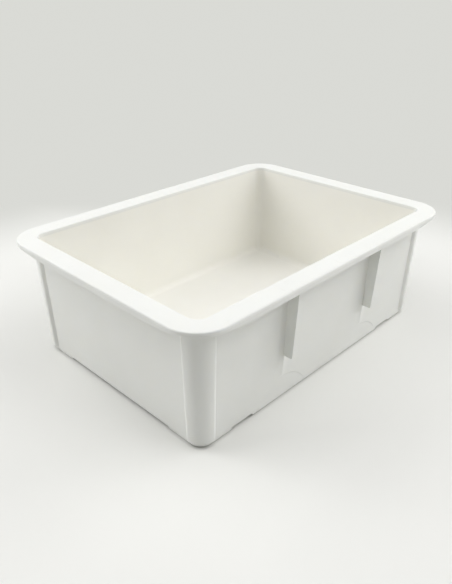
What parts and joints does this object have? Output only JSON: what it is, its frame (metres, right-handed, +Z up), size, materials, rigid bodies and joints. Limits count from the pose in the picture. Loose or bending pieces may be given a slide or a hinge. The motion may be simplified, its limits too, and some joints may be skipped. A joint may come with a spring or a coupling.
{
  "type": "dough proofing container",
  "caption": "Open tapered tub with a wide flat flange, round corner posts and gusset fins, for dough to rise in.",
  "frame": {"origin": "middle of the footprint, on the surface that the container stands on", "axes": "+Z up, +X along the long walls, +Y along the short walls"},
  "size_m": [0.4, 0.292, 0.135],
  "materials": {
    "tub": "satin"
  },
  "bodies": {
    "root": {"tub": "tub"}
  },
  "joints": []
}
